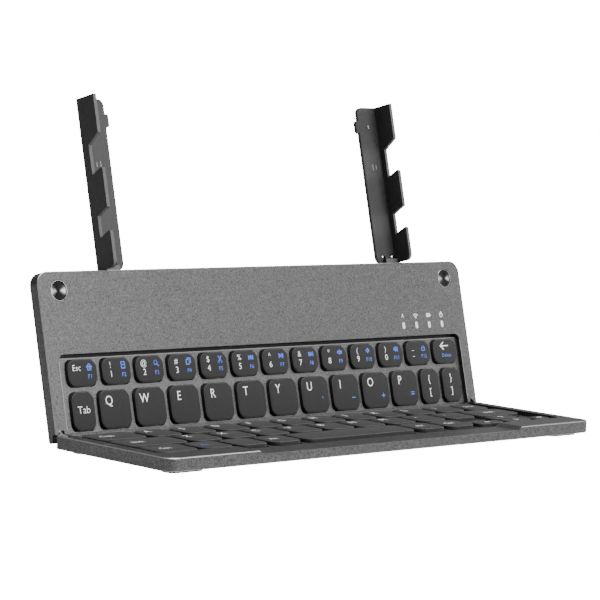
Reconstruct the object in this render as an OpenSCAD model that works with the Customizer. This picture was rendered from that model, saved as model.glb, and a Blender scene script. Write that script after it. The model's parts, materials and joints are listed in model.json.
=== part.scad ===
// Pocket-size folding keyboard: two keyed panels hinged along one edge, with two
// toothed tablet arms hinged on the far edge of the rear panel.
// Both panels are drawn alike: X along the fold, Y = 0 on the line where the two rims
// meet while the keyboard stands open, the rim just under Z = 0 and the panel running to
// +Y.  Each also reaches a little to -Y, where the rear panel's heel stands behind the
// base.  Millimetres, +Z up.

/* [Panels] */
// Width of both panels along the fold axis
panel_w = 250; // [250:1:280]
// Length of each panel
panel_l = 69.6; // [69.4:0.1:83]
// Reach of the rear panel's heel below the base's rim
heel_l = 3; // [2.9:0.05:3.1]
// Thickness of each panel
panel_t = 5.45; // [5.4:0.05:8]
// Radius of the outer corners
corner_r = 5.5; // [4:0.5:7]
// Radius of the corners beside the fold
fold_corner_r = 0.8; // [0.6:0.1:1.4]
// Chamfer along the panel edges
edge_c = 0.35; // [0.2:0.05:0.5]
// Width of the rim left and right of the keys
side_rim = 6.1; // [5.8:0.1:7]
// Opening angle between the panels as they stand in use
open_angle = 104.5; // [100:0.5:110]
// Air between the rims of the two panels when they are shut
fold_gap = 0.3; // [0.2:0.05:0.5]

/* [Key wells] */
// Width of the base's front rim
front_rim = 13.6; // [13.4:0.1:15]
// Room between the last row of keys and the wall of the base's well
base_room = 2.9; // [2.4:0.05:3.1]
// Room between the last row of keys and the wall of the rear panel's well
rear_room = 2.35; // [2.3:0.05:3]
// Room beside the key field, both sides together
side_room = 7; // [6.6:0.1:8]
// Corner radius of the wells
well_r = 3; // [2:0.25:4]
// Depth from the rim to the plate between the keys
well_depth = 2; // [1.9:0.05:2.2]
// Thickness of that plate
web_t = 0.6; // [0.4:0.05:0.8]
// Groove between the plate and the outer wall of its well
web_groove = 1.4; // [1:0.1:1.4]
// Lowered middle of the base's front rim: width
scoop_w = 156; // [120:1:180]
// Lowered middle of the base's front rim: depth
scoop_depth = 1.5; // [1:0.1:1.8]

/* [Keys] */
// Offset of the key field from the middle of the panel
field_x = 0.8; // [-0.9:0.1:0.9]
// Gap between neighbouring keys in a row
key_gap = 2.7; // [2.2:0.1:3.2]
// Width of a letter key, in percent of the key field
letter_share = 7.06; // [6.9:0.01:7.12]
// Corner radius of a key
key_r = 2.4; // [1.5:0.1:3]
// Depth of the key tops below the rim
key_recess = 0.33; // [0.2:0.01:0.6]
// Travel of a key
key_travel = 1.2; // [0.8:0.1:1.3]
// Air round a key in the plate
key_clearance = 0.25; // [0.15:0.01:0.3]
// Chamfer round a key top
key_c = 0.35; // [0.2:0.05:0.5]
// Wall of the hollow caps
cap_wall = 0.9; // [0.7:0.1:1.2]

/* [Tablet arms] */
// Distance of each arm's outer face from the panel's side
arm_side = 36.4; // [30:0.1:45]
// Width of an arm's flat flange
arm_w = 13.2; // [12.6:0.1:14]
// Sheet thickness of an arm
arm_sheet = 1.6; // [1.2:0.1:1.8]
// Depth of the toothed flange, from back to front
arm_depth = 11.35; // [10:0.05:13]
// Length of an arm
arm_l = 72.8; // [72:0.1:74]
// Corner radius of an arm
arm_r = 3; // [2:0.25:3.5]
// Radius of the rubber pad behind an arm
pad_r = 4.8; // [4:0.1:5]
// Thickness of that pad
pad_t = 1.4; // [1.2:0.05:1.6]
// Distance of the pad from the top of its arm
pad_drop = 9.2; // [8:0.1:12]
// Reach of the finger tab on an arm's inner edge
tab_reach = 1.8; // [1:0.1:2.5]
// Length of that tab
tab_l = 5.6; // [4:0.1:8]
// Radius of an arm's hinge knuckles
knuckle_r = 1.15; // [1.1:0.05:1.15]
// Radius of an arm's hinge pin
arm_pin_r = 0.6; // [0.5:0.05:0.7]

/* [Fold hinge and closing magnets] */
// Distance of each hinge from the panel's side
hinge_side = 3; // [2.9:0.1:3.1]
// Radius of the hinge eyes
eye_r = 1; // [0.95:0.01:1]
// Radius of the hinge pins
fold_pin_r = 0.5; // [0.4:0.05:0.6]
// Running clearance round a pin
pin_clearance = 0.04; // [0.02:0.01:0.08]
// Radius of the round magnet caps
disc_r = 4.35; // [3.5:0.05:4.5]
// Distance of a magnet cap from the panel's side
disc_side = 10.7; // [10:0.1:12]
// Distance of a magnet cap from the panel's outer edge
disc_edge = 8; // [7:0.1:8]

/* [Inside and underneath] */
// Thickness of the bottom and back covers
cover_t = 0.7; // [0.5:0.05:0.8]
// Thickness of the steel plate under the keys
plate_t = 0.3; // [0.2:0.05:0.4]
// Thickness of the rubber dome sheet
dome_sheet_t = 0.2; // [0.15:0.05:0.3]
// Height of a foot below the panel
foot_h = 1.25; // [0.8:0.05:1.5]
// Length of the battery
battery_l = 110; // [80:1:120]
// Pitch of the indicator lamps
lamp_pitch = 8.5; // [7:0.1:9]

/* [Hidden] */
$fn = 64;
half_w = panel_w / 2;
well_w = panel_w - 2 * side_rim;
field_w = well_w - side_room;
// Rows of keys, each a list of widths that fills the key field with its gaps
function total(v, n) = n <= 0 ? 0 : v[n - 1] + total(v, n - 1);
function fill(v) = field_w - total(v, len(v)) - len(v) * key_gap;
// A share of a length, to the nearest 0.05 mm
function share(percent, whole) = round(percent * whole / 5) / 20;
letter_w = share(letter_share, field_w);
small_w = share(100 / 3, field_w - 10 * letter_w - 12 * key_gap);
number_w = share(100 / 13, field_w - 12 * key_gap);
// The other keys, in percent of the key field
caps_share = 10.8;
shift_share = 13.4;
fn_share = 8.9;
mod_share = 6.93;
right_share = 3.9;
caps_w = share(caps_share, field_w);
shift_w = share(shift_share, field_w);
fn_w = share(fn_share, field_w);
mod_w = share(mod_share, field_w);
right_w = share(right_share, field_w);
number_row = concat([for (i = [0:11]) number_w], [fill([for (i = [0:11]) number_w])]);
letter_row = concat([small_w], [for (i = [0:9]) letter_w], [small_w],
    [fill(concat([small_w, small_w], [for (i = [0:9]) letter_w]))]);
caps_row = concat([caps_w], [for (i = [0:9]) letter_w],
    [fill(concat([caps_w], [for (i = [0:9]) letter_w]))]);
shift_row = concat([shift_w], [for (i = [0:8]) letter_w],
    [fill(concat([shift_w], [for (i = [0:8]) letter_w]))]);
front_row_left = [fn_w, mod_w, mod_w, mod_w];
front_row_right = [mod_w, mod_w, mod_w, letter_w, right_w];
space_w = fill(concat(front_row_left, front_row_right));
front_row = concat(front_row_left, [space_w], front_row_right);

// Outer edge, and the hinge axis: under the base's rim, before the rear panel's face
outer_y = panel_l - heel_l;
axis_y = -heel_l / 2;
axis_depth = heel_l / 2 / tan(open_angle / 2);

// Near and far edge of each row.  The base's rows start nearer to its edge by the heel
row_gap = 2.25;
first_row_y = 0.9;
base_shift = -heel_l;
base_well_l = outer_y - front_rim;
letter_l = share(100 / 3, base_well_l - base_room - first_row_y - base_shift - 2 * row_gap);
// Length of a number key, in percent of a letter key's
number_deep = 69.2;
number_l = share(number_deep, letter_l);
half_l = (letter_l - row_gap) / 2;
letter_y = first_row_y;
number_y = letter_y + letter_l + row_gap;
caps_y = first_row_y + base_shift;
shift_y = caps_y + letter_l + row_gap;
front_y = shift_y + letter_l + row_gap;

number_names = ["esc", "1", "2", "3", "4", "5", "6", "7", "8", "9", "0", "minus", "backspace"];
letter_names = ["tab", "q", "w", "e", "r", "t", "y", "u", "i", "o", "p",
    "bracket_open", "bracket_close"];
upper_names = concat(number_names, letter_names);

// Heights in the hinge frame
rim_z = -fold_gap / 2;
bottom_z = rim_z - panel_t;
foot_z = bottom_z - foot_h;
web_z = rim_z - well_depth;
ledge_z = web_z - web_t;
cover_z = bottom_z + cover_t;
plate_z = cover_z + plate_t;
sheet_z = plate_z + dome_sheet_t;
key_z = rim_z - key_recess;
key_foot_z = sheet_z + key_travel + 0.1;
key_h = key_z - key_foot_z;
chamfer_root = 0.1;
cap_top_t = 0.9;
dome_h = 1;
dome_r = half_l * 0.3;

// Outline, wells and covers
rear_well_l = number_y + number_l + rear_room;
base_window_l = front_y + letter_l + key_clearance + 0.05;
rear_window_l = number_y + number_l + key_clearance + 0.05;
fence_y = first_row_y - key_clearance;
web_y = 0.3;
plate_y = 2.4;
ledge_w = 2;
hinge_x = half_w - hinge_side;
cover_side = 3;
cover_end = 2.5 - heel_l;
cover_r = 3;
window_side = side_rim + ledge_w;
seat_gap = 0.1;

// Front face of the rear panel
disc_x = half_w - disc_side;
disc_y = outer_y - disc_edge;
lamp_side = 29.1;
lamp_rise = 4.9;
lamp_x = half_w - lamp_side;
lamp_y = rear_well_l + lamp_rise;
lamp_w = 1.8;
lamp_l = 3.2;
face_t = 1.1;
bay_wall = 2;
bay_side = 13;
bay_x = half_w - bay_side;
bay_x2 = bay_x - 2 * bay_wall;
bay_y = rear_well_l + bay_wall;
bay_y2 = outer_y - 4 * bay_wall;
bay_shoulder = disc_y - disc_r - bay_wall;
disc_t = 1.3;
disc_gap = 0.1;
magnet_r = 4;
magnet_t = 1.5;
magnet_skin = 1;

// Board, on pads under the front face, so that it carries the lamps
board_x0 = 30;
board_inset = 3;
chip_w = 7;
radio_w = 12;
radio_l = 8;
chip_t = 0.9;
battery_gap = 8;
battery_x = board_x0 - battery_gap;
board_t = 0.8;
lens_t = face_t + 0.5;
board_z = rim_z - lens_t;

// Charging socket in the side wall of the rear panel
socket_drop = 12.6;
socket_y = disc_y - socket_drop;
socket_w = 8.9;
socket_h = 3.2;
socket_l = 7;
socket_wall = 0.3;
tongue_w = 6.6;
tongue_t = 0.7;
socket_z = rim_z - panel_t / 2;

// Arms: x of their parts, and the hinge axis behind the top edge
arm_x = half_w - arm_side;
arm_inner_x = arm_x - arm_w;
tooth_x = arm_x - arm_sheet;
arm_back_z = rim_z - panel_t + 0.15;
arm_front_z = arm_back_z + arm_sheet;
tooth_z = arm_back_z + arm_depth;
arm_foot_y = outer_y + 0.4;
arm_top_y = arm_foot_y + arm_l;
arm_axis_y = outer_y + 2.4;
arm_axis_z = bottom_z - 0.05;
knuckle_gap = 0.25;
bracket_t = 0.6;
bracket_x0 = arm_inner_x + 3.8;
bracket_x1 = tooth_x - 0.3;
lug_z0 = arm_front_z + 0.35;
lug_z1 = lug_z0 + 1.7;
lug_h = 2.2;
arm_knuckle_x0 = bracket_x0 + 1.8;
arm_knuckle_x1 = bracket_x1 - 1.8;
pad_x = arm_inner_x + 5.9;
pad_y = arm_top_y - pad_drop;
stud_r = 1.4;
tab_r = 1;
// Teeth of an arm: where each slot starts and ends along its length, and how far the
// tooth above it slants up
root_z = arm_back_z + 4.4;
slots = [[0.179, 0.306, 2.9], [0.544, 0.72, 4.1]];
hook_rise = 2.3;
tip_r = 0.8;

// Fold hinges
leaf_t = 1.2;
leaf_gap = 0.05;
leaf_l = 5;
leaf_top_z = -0.45;
leaf_low_z = -4;
neck_y = 1.4;
notch_y = 1.55;
notch_w = 3;
notch_z = -2.5;
base_leaf_x = hinge_x - leaf_t - leaf_gap;
rear_leaf_x = hinge_x + leaf_gap;

// Feet and screws
foot_l = 18;
foot_w = 8;
foot_side = 13.5;
foot_edge = 8;
foot_near = 4.2;
foot_seat = 0.2;
screw_edge = 5.5;
screw_head_r = 1.4;
screw_head_h = 0.5;
screw_r = 0.7;
screw_l = 2.6;

// The origin lies on the table, midway between the front edge and the rearmost pad
lean = open_angle - 90;
rear_reach = max((pad_y + pad_r) * sin(lean) - (arm_back_z - pad_t) * cos(lean),
    arm_top_y * sin(lean) - arm_back_z * cos(lean));
origin_y = (panel_l - rear_reach) / 2;
origin_z = -foot_z;

BASE_NODES = ["base_frame", "base_bottom_cover", "base_key_web", "base_support_plate",
    "base_dome_sheet", "base_magnets", "base_feet", "base_screws", "base_hinge_leaves",
    "fold_hinge_pins"];
REAR_NODES = ["rear_frame", "rear_back_cover", "rear_key_web", "rear_support_plate",
    "rear_dome_sheet", "main_board", "battery", "charge_socket", "indicator_lenses",
    "magnet_caps", "rear_feet", "rear_screws", "rear_hinge_leaves", "arm_hinge_brackets",
    "arm_hinge_pins"];
ARM_NODES = ["arm_left", "arm_right", "arm_pad_left", "arm_pad_right"];
LOWER_KEYS = ["keys_caps_row", "keys_shift_row", "keys_front_left", "key_space",
    "keys_front_right"];

// ---------- shared shapes ----------

// Left end of key i in a row
function key_x(row, i) = field_x - field_w / 2 + total(row, i) + i * key_gap;

// Flat outline of a box with round corners: r0 at the low-Y corners, r1 at the high ones
module rounded(x0, x1, y0, y1, r0, r1) {
    translate([x0 + r0, y0]) square([x1 - x0 - 2 * r0, r0]);
    translate([x0 + r1, y1 - r1]) square([x1 - x0 - 2 * r1, r1]);
    translate([x0, y0 + r0]) square([x1 - x0, y1 - y0 - r0 - r1]);
    for (x = [x0 + r0, x1 - r0]) translate([x, y0 + r0]) circle(r0);
    for (x = [x0 + r1, x1 - r1]) translate([x, y1 - r1]) circle(r1);
}

module rounded_box(x0, x1, y0, y1, z0, z1, r) {
    translate([0, 0, z0]) linear_extrude(z1 - z0) rounded(x0, x1, y0, y1, r, r);
}

// One chamfered layer of that outline: full size up to z, drawn in by c at z + c
module chamfer_layer(x0, x1, y0, y1, r0, r1, z, c) {
    low = -chamfer_root;
    translate([0, y1 - r1, z]) rotate([90, 0, 0]) linear_extrude(y1 - y0 - r0 - r1)
        polygon([[x0, low], [x1, low], [x1, 0], [x1 - c, c], [x0 + c, c], [x0, 0]]);
    translate([x0 + r0, 0, z]) rotate([90, 0, 90]) linear_extrude(x1 - x0 - 2 * r0)
        polygon([[y0, low], [y1 - r1, low], [y1 - r1, c], [y0 + c, c], [y0, 0]]);
    translate([x0 + r1, 0, z]) rotate([90, 0, 90]) linear_extrude(x1 - x0 - 2 * r1)
        polygon([[y0 + r0, low], [y1, low], [y1, 0], [y1 - c, c], [y0 + r0, c]]);
    for (p = [[x0 + r0, y0 + r0, r0], [x1 - r0, y0 + r0, r0], [x0 + r1, y1 - r1, r1],
        [x1 - r1, y1 - r1, r1]]) translate([p[0], p[1], z])
        rotate_extrude() polygon([[0, low], [p[2], low], [p[2], 0], [p[2] - c, c], [0, c]]);
}

// Panel body, from the fold to the outer edge, chamfered above and below
module panel_body() {
    y0 = -heel_l;
    translate([0, 0, bottom_z + edge_c]) linear_extrude(panel_t - 2 * edge_c)
        rounded(-half_w, half_w, y0, outer_y, fold_corner_r, corner_r);
    chamfer_layer(-half_w, half_w, y0, outer_y, fold_corner_r, corner_r, rim_z - edge_c, edge_c);
    translate([0, 0, 2 * (bottom_z + edge_c)]) mirror([0, 0, 1])
        chamfer_layer(-half_w, half_w, y0, outer_y, fold_corner_r, corner_r,
            bottom_z + edge_c, edge_c);
}

// A hollow key cap, its near-left corner at (x, y)
module key_cap(x, y, w, l) {
    difference() {
        union() {
            rounded_box(x, x + w, y, y + l, key_foot_z, key_z - key_c, key_r);
            chamfer_layer(x, x + w, y, y + l, key_r, key_r, key_z - key_c, key_c);
        }
        translate([x + cap_wall, y + cap_wall, key_foot_z - 1])
            cube([w - 2 * cap_wall, l - 2 * cap_wall, key_h - cap_top_t + 1]);
    }
}

// Hole for a key in the plate
module key_hole(x, y, w, l) {
    rounded_box(x - key_clearance, x + w + key_clearance, y - key_clearance,
        y + l + key_clearance, ledge_z - 1, web_z + 1, key_r + key_clearance);
}

// Arrow keys are half as deep as their row; the up key stands behind the down key
function is_arrow(i) = i >= len(front_row) - 3;
function arrow_y() = front_y + half_l + row_gap;

module every_base_key() {
    for (i = [0:len(caps_row) - 1]) at_key(key_x(caps_row, i), caps_y, caps_row[i], letter_l) children();
    for (i = [0:len(shift_row) - 1])
        at_key(key_x(shift_row, i), shift_y, shift_row[i], letter_l) children();
    for (i = [0:len(front_row) - 1])
        at_key(key_x(front_row, i), is_arrow(i) ? arrow_y() : front_y, front_row[i],
            is_arrow(i) ? half_l : letter_l) children();
    at_key(key_x(front_row, len(front_row) - 2), front_y, letter_w, half_l) children();
}

module every_rear_key() {
    for (i = [0:12]) at_key(key_x(letter_row, i), letter_y, letter_row[i], letter_l) children();
    for (i = [0:12]) at_key(key_x(number_row, i), number_y, number_row[i], number_l) children();
}

// Hands a key's place to the child through $x, $y, $w and $l
module at_key(x, y, w, l) {
    $x = x;
    $y = y;
    $w = w;
    $l = l;
    children();
}

// Both hinge sides of a panel
module both_sides() {
    children();
    mirror([1, 0, 0]) children();
}

// Places in the finished part
module on_base() {
    translate([0, origin_y - heel_l, origin_z]) mirror([0, 1, 0]) children();
}

module on_rear() {
    translate([0, origin_y, origin_z]) rotate([180 - open_angle, 0, 0]) children();
}

// ---------- panels ----------

module panel_frame(well_l, window_l, shift) {
    difference() {
        panel_body();
        // key well, open at the fold
        translate([0, 0, ledge_z]) linear_extrude(panel_t)
            rounded(-well_w / 2, well_w / 2, -heel_l - 2, well_l, 0.5, well_r);
        // window under the keys, leaving a ledge for the plate
        rounded_box(window_side - half_w, half_w - window_side, fence_y + shift, window_l,
            sheet_z, 1, 0.4);
        rounded_box(window_side - half_w, half_w - window_side, plate_y + shift, window_l,
            bottom_z - 1, -1, 0.4);
        // seat of the cover
        rounded_box(cover_side - half_w, half_w - cover_side, cover_end, outer_y - cover_side,
            bottom_z - 1, cover_z, cover_r);
        // notch that the hinge eyes turn in
        both_sides() translate([hinge_x - notch_w / 2, -heel_l - 1, notch_z])
            cube([notch_w, notch_y + heel_l + 1, -notch_z]);
    }
}

// Pocket of a hinge leaf, from y0 inwards
module leaf_slot(x0, y0) {
    z0 = leaf_low_z - leaf_gap;
    both_sides() translate([x0 - leaf_gap / 2, y0, z0])
        cube([leaf_t + leaf_gap, leaf_l + leaf_gap - y0, leaf_top_z + leaf_gap - z0]);
}

module cover(z0) {
    inset = seat_gap;
    rounded_box(cover_side + inset - half_w, half_w - cover_side - inset, cover_end + inset,
        outer_y - cover_side - inset, z0, cover_z, cover_r - inset);
}

module screw_places() {
    for (x = [-0.76, -0.26, 0.26, 0.76]) translate([x * half_w, outer_y - screw_edge, 0]) children();
}

// Countersunk screw, its head flush with the cover
module screw() {
    translate([0, 0, bottom_z]) cylinder(h = screw_head_h, r1 = screw_head_r, r2 = screw_r);
    translate([0, 0, bottom_z + screw_head_h]) cylinder(h = screw_l - screw_head_h, r = screw_r);
}

module screw_hole(extra) {
    translate([0, 0, bottom_z - 0.01])
        cylinder(h = screw_head_h + 0.01, r1 = screw_head_r + extra, r2 = screw_r + extra);
    translate([0, 0, bottom_z]) cylinder(h = screw_l + 0.1, r = screw_r + extra);
}

module base_frame() color([0.36, 0.36, 0.37]) difference() {
    panel_frame(base_well_l, base_window_l, base_shift);
    // finger scoop with slanted ends
    translate([0, outer_y + 1, rim_z]) rotate([90, 0, 0])
        linear_extrude(outer_y - base_well_l + 2) polygon([[-scoop_w / 2, 1],
            [-scoop_w / 2, 0], [-scoop_w / 2 + scoop_depth * 1.6, -scoop_depth],
            [scoop_w / 2 - scoop_depth * 1.6, -scoop_depth], [scoop_w / 2, 0], [scoop_w / 2, 1]]);
    leaf_slot(base_leaf_x, axis_y - eye_r);
    both_sides() translate([disc_x, disc_y, cover_z - 1])
        cylinder(h = rim_z - magnet_skin - cover_z + 1, r = magnet_r + seat_gap);
    screw_places() screw_hole(0.05);
}

module base_bottom_cover() color([0.2, 0.2, 0.21]) difference() {
    cover(bottom_z);
    foot_places() foot_shape(seat_gap, bottom_z - 1, bottom_z + foot_seat);
    screw_places() screw_hole(0.05);
}

module web(well_l, shift) {
    rounded_box(-well_w / 2 + seat_gap, well_w / 2 - seat_gap, web_y + shift,
        well_l - web_groove, ledge_z, web_z, 1);
}

module base_key_web() color([0.48, 0.48, 0.48]) difference() {
    web(base_well_l, base_shift);
    every_base_key() key_hole($x, $y, $w, $l);
}

module support_plate(window_l, shift) {
    rounded_box(window_side + seat_gap - half_w, half_w - window_side - seat_gap,
        plate_y + shift + seat_gap, window_l - seat_gap, cover_z, plate_z, 0.3);
}

module base_support_plate() color([0.7, 0.7, 0.72]) support_plate(base_window_l, base_shift);

module dome_sheet(window_l, shift) {
    rounded_box(window_side + seat_gap - half_w, half_w - window_side - seat_gap,
        plate_y + shift + seat_gap, window_l - seat_gap, plate_z, sheet_z, 0.3);
}

module dome() {
    translate([$x + $w / 2, $y + $l / 2, sheet_z]) cylinder(h = dome_h, r1 = dome_r, r2 = dome_r * 0.67);
}

module base_dome_sheet() color([0.85, 0.85, 0.82]) {
    dome_sheet(base_window_l, base_shift);
    every_base_key() dome();
}

module base_magnets() color([0.75, 0.75, 0.78]) both_sides()
    translate([disc_x, disc_y, rim_z - magnet_skin - magnet_t]) cylinder(h = magnet_t, r = magnet_r);

module foot_places() {
    for (y = [foot_near, outer_y - foot_edge]) both_sides() translate([half_w - foot_side, y, 0])
        children();
}

module foot_shape(extra, z0, z1) {
    rounded_box(-foot_l / 2 - extra, foot_l / 2 + extra, -foot_w / 2 - extra, foot_w / 2 + extra,
        z0, z1, foot_w / 2 - 0.5);
}

module feet() color([0.1, 0.1, 0.1]) foot_places() foot_shape(0, foot_z, bottom_z + foot_seat);

module screws() color([0.3, 0.3, 0.32]) screw_places() screw();

// ---------- fold hinge ----------

// Leaf of the fold hinge, seen from the side: an eye at height z and a tail in its pocket
module leaf(x0, z, bore_r) {
    both_sides() translate([x0, 0, 0]) rotate([90, 0, 90]) linear_extrude(leaf_t) difference() {
        union() {
            translate([axis_y, z]) circle(eye_r);
            children();
        }
        translate([axis_y, z]) circle(bore_r);
    }
}

module base_hinge_leaves() color([0.75, 0.75, 0.76])
    leaf(base_leaf_x, -axis_depth, fold_pin_r) polygon([[axis_y, -axis_depth - eye_r],
        [notch_y, leaf_low_z], [leaf_l, leaf_low_z], [leaf_l, leaf_top_z], [axis_y, leaf_top_z]]);

// The rear leaf's neck leans forward out of the panel's face to the eye
module rear_hinge_leaves() color([0.75, 0.75, 0.76])
    leaf(rear_leaf_x, axis_depth, fold_pin_r + pin_clearance)
        polygon([[axis_y + eye_r * 0.62, axis_depth + eye_r * 0.78], [neck_y, leaf_top_z],
            [leaf_l, leaf_top_z], [leaf_l, leaf_low_z], [0.25, leaf_low_z], [0.25, notch_z],
            [axis_y - eye_r * 0.62, axis_depth - eye_r * 0.78]]);

module fold_hinge_pins() color([0.85, 0.85, 0.86]) both_sides()
    translate([base_leaf_x, axis_y, -axis_depth]) rotate([0, 90, 0])
        cylinder(h = rear_leaf_x + leaf_t - base_leaf_x, r = fold_pin_r);

// ---------- rear panel ----------

module lens_places() {
    for (i = [-1.5:1.5]) translate([lamp_x + i * lamp_pitch, lamp_y, 0]) children();
}

module rear_frame() color([0.42, 0.42, 0.43]) difference() {
    panel_frame(rear_well_l, rear_window_l, 0);
    // below the base's rim only the heel is left, behind the base
    translate([-half_w - 1, -heel_l - 1, ledge_z])
        cube([panel_w + 2, heel_l + 1 + fold_gap / 2, panel_t]);
    leaf_slot(rear_leaf_x, 0.1);
    // bay for the board and the battery, with pads for the board
    difference() {
        union() {
            rounded_box(-bay_x2, bay_x2, bay_y, bay_y2, bottom_z - 1, rim_z - face_t, 1);
            rounded_box(-bay_x, bay_x, bay_y, bay_shoulder, bottom_z - 1, rim_z - face_t, 1);
        }
        board_pads() translate([0, 0, board_z]) cylinder(h = 2, r = 1.2);
    }
    lens_places() rounded_box(-lamp_w / 2, lamp_w / 2, -lamp_l / 2, lamp_l / 2,
        rim_z - face_t - 1, 1, lamp_w / 2 - 0.05);
    both_sides() translate([disc_x, disc_y, rim_z - disc_t]) cylinder(h = disc_t + 1, r = disc_r + disc_gap);
    socket_body(0.05, half_w - socket_l, half_w + 1);
    translate([bay_x - 2, socket_y - socket_w / 2 + 1, socket_z - socket_h / 2 + 0.2])
        cube([half_w - socket_l - bay_x + 3, socket_w - 2, socket_h - 0.4]);
    screw_places() screw_hole(0.05);
}

module rear_back_cover() color([0.2, 0.2, 0.21]) difference() {
    cover(bottom_z);
    foot_places() foot_shape(seat_gap, bottom_z - 1, bottom_z + foot_seat);
    screw_places() screw_hole(0.05);
}

module rear_key_web() color([0.48, 0.48, 0.48]) difference() {
    web(rear_well_l, 0);
    every_rear_key() key_hole($x, $y, $w, $l);
}

module rear_support_plate() color([0.7, 0.7, 0.72]) support_plate(rear_window_l, 0);

module rear_dome_sheet() color([0.85, 0.85, 0.82]) {
    dome_sheet(rear_window_l, 0);
    every_rear_key() dome();
}

module board_pads() {
    for (x = [board_x0 + board_inset, lamp_x - 1.5 * lamp_pitch - 2 * board_inset],
        y = [bay_y + board_inset, bay_y2 - board_inset]) translate([x, y, 0]) children();
}

module main_board() color([0.1, 0.35, 0.2]) {
    y0 = bay_y + 0.3;
    low_z = board_z - board_t;
    translate([board_x0, y0, low_z]) cube([bay_x2 - 0.5 - board_x0, bay_y2 - 0.5 - y0, board_t]);
    translate([bay_x2 - 1, y0, low_z])
        cube([bay_x - bay_x2 + 0.5, bay_shoulder - 0.5 - y0, board_t]);
    // controller, radio module and the header beside the charging socket
    mid_y = (bay_y + bay_y2) / 2;
    translate([board_x0 + 2 * chip_w, mid_y - chip_w / 2, low_z - chip_t])
        cube([chip_w, chip_w, chip_t + 0.1]);
    translate([board_x0 + 4 * chip_w, mid_y - radio_l / 2, low_z - chip_t])
        cube([radio_w, radio_l, chip_t + 0.1]);
    header_w = socket_w - 2.4;
    translate([bay_x2 - 2 * board_inset, socket_y - header_w / 2, low_z - chip_t])
        cube([half_w - socket_l - seat_gap - bay_x2 + 2 * board_inset, header_w, chip_t + 0.05]);
}

module battery() color([0.75, 0.76, 0.78])
    rounded_box(battery_x - battery_l, battery_x, bay_y + bay_wall, bay_y2 - bay_wall, cover_z,
        rim_z - face_t - 0.3, 1.5);

// The socket's rounded shell from x0 to x1, grown by extra
module socket_body(extra, x0, x1) {
    h = socket_h + 2 * extra;
    w = socket_w + 2 * extra;
    translate([x0, socket_y, socket_z]) rotate([90, 0, 90]) linear_extrude(x1 - x0)
        rounded(-w / 2, w / 2, -h / 2, h / 2, h / 2 - 0.02, h / 2 - 0.02);
}

module charge_socket() color([0.7, 0.7, 0.72]) {
    x1 = half_w - 0.3;
    difference() {
        socket_body(0, half_w - socket_l, x1);
        socket_body(-socket_wall, half_w - socket_l + 0.8, half_w + 1);
    }
    translate([half_w - socket_l + 0.5, socket_y - tongue_w / 2, socket_z - tongue_t / 2])
        cube([socket_l - 2, tongue_w, tongue_t]);
}

module indicator_lenses() color([0.95, 0.95, 0.95]) lens_places()
    rounded_box(-lamp_w / 2 + 0.05, lamp_w / 2 - 0.05, -lamp_l / 2 + 0.05, lamp_l / 2 - 0.05,
        rim_z - lens_t, rim_z - 0.02, lamp_w / 2 - 0.1);

// Turned cap over each closing magnet: a raised lip round a shallow dish
module magnet_caps() color([0.3, 0.3, 0.31]) both_sides()
    translate([disc_x, disc_y, rim_z]) rotate_extrude() polygon([[0, -disc_t],
        [disc_r, -disc_t], [disc_r, -0.12], [disc_r - 0.12, 0], [disc_r - 0.45, 0],
        [disc_r - 0.7, -0.25], [disc_r - 1, -0.25], [0, -0.5]]);

// ---------- tablet arms ----------

// Toothed flange in side view: Y along the arm, X to the front
module tooth_outline() {
    f = arm_foot_y;
    difference() {
        union() {
            translate([arm_back_z, f + arm_r]) square([arm_depth, arm_l - arm_r]);
            translate([arm_back_z, f]) square([arm_depth - arm_r, arm_l]);
            translate([tooth_z - arm_r, f + arm_r]) circle(arm_r);
        }
        for (n = slots) tablet_slot(f + n[0] * arm_l, f + n[1] * arm_l, n[2]);
    }
}

// Slot for a tablet's edge, between a round-tipped hook below and a slanted tooth above
module tablet_slot(y0, y1, rise) {
    z1 = tooth_z + 1;
    tip = [for (a = [0:15:90])
        [tooth_z - tip_r + tip_r * cos(a), y0 + hook_rise - tip_r + tip_r * sin(a)]];
    polygon(concat([[z1, y0 + hook_rise - tip_r]], tip, [[root_z, y0], [root_z, y1],
        [z1, y1 + rise * (z1 - root_z) / (tooth_z - root_z)]]));
}

// Right-hand arm: flat flange with round corners, toothed flange and hinge knuckle
module arm() {
    difference() {
        translate([0, 0, arm_back_z]) linear_extrude(arm_sheet) difference() {
            union() {
                rounded(arm_inner_x, arm_x + arm_r, arm_foot_y, arm_top_y, arm_r, arm_r);
                rounded(arm_inner_x - tab_reach, arm_inner_x + 2 * tab_r, pad_y - tab_l / 2,
                    pad_y + tab_l / 2, tab_r, tab_r);
            }
            translate([arm_x, arm_foot_y - 1]) square([2 * arm_r, arm_l + 2]);
            // room for the hinge bracket
            translate([bracket_x0 - knuckle_gap, arm_foot_y - 1])
                square([tooth_x - bracket_x0 + knuckle_gap, arm_axis_y + knuckle_r + knuckle_gap
                    - arm_foot_y + 1]);
        }
        translate([pad_x, pad_y, arm_back_z - 1]) cylinder(h = 2 * arm_sheet, r = stud_r + 0.05);
    }
    translate([tooth_x, 0, 0]) rotate([0, 90, 0]) linear_extrude(arm_sheet)
        mirror([1, 0]) tooth_outline();
    difference() {
        union() {
            translate([arm_knuckle_x0, arm_axis_y, arm_axis_z]) rotate([0, 90, 0])
                cylinder(h = arm_knuckle_x1 - arm_knuckle_x0, r = knuckle_r);
            translate([arm_knuckle_x0, arm_axis_y, arm_back_z])
                cube([arm_knuckle_x1 - arm_knuckle_x0, knuckle_r + knuckle_gap + 1, arm_sheet]);
        }
        translate([arm_knuckle_x0 - 1, arm_axis_y, arm_axis_z]) rotate([0, 90, 0])
            cylinder(h = arm_w, r = arm_pin_r + pin_clearance);
    }
}

module arm_right() color([0.25, 0.25, 0.25]) arm();
module arm_left() color([0.33, 0.33, 0.33]) mirror([1, 0, 0]) arm();

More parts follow.
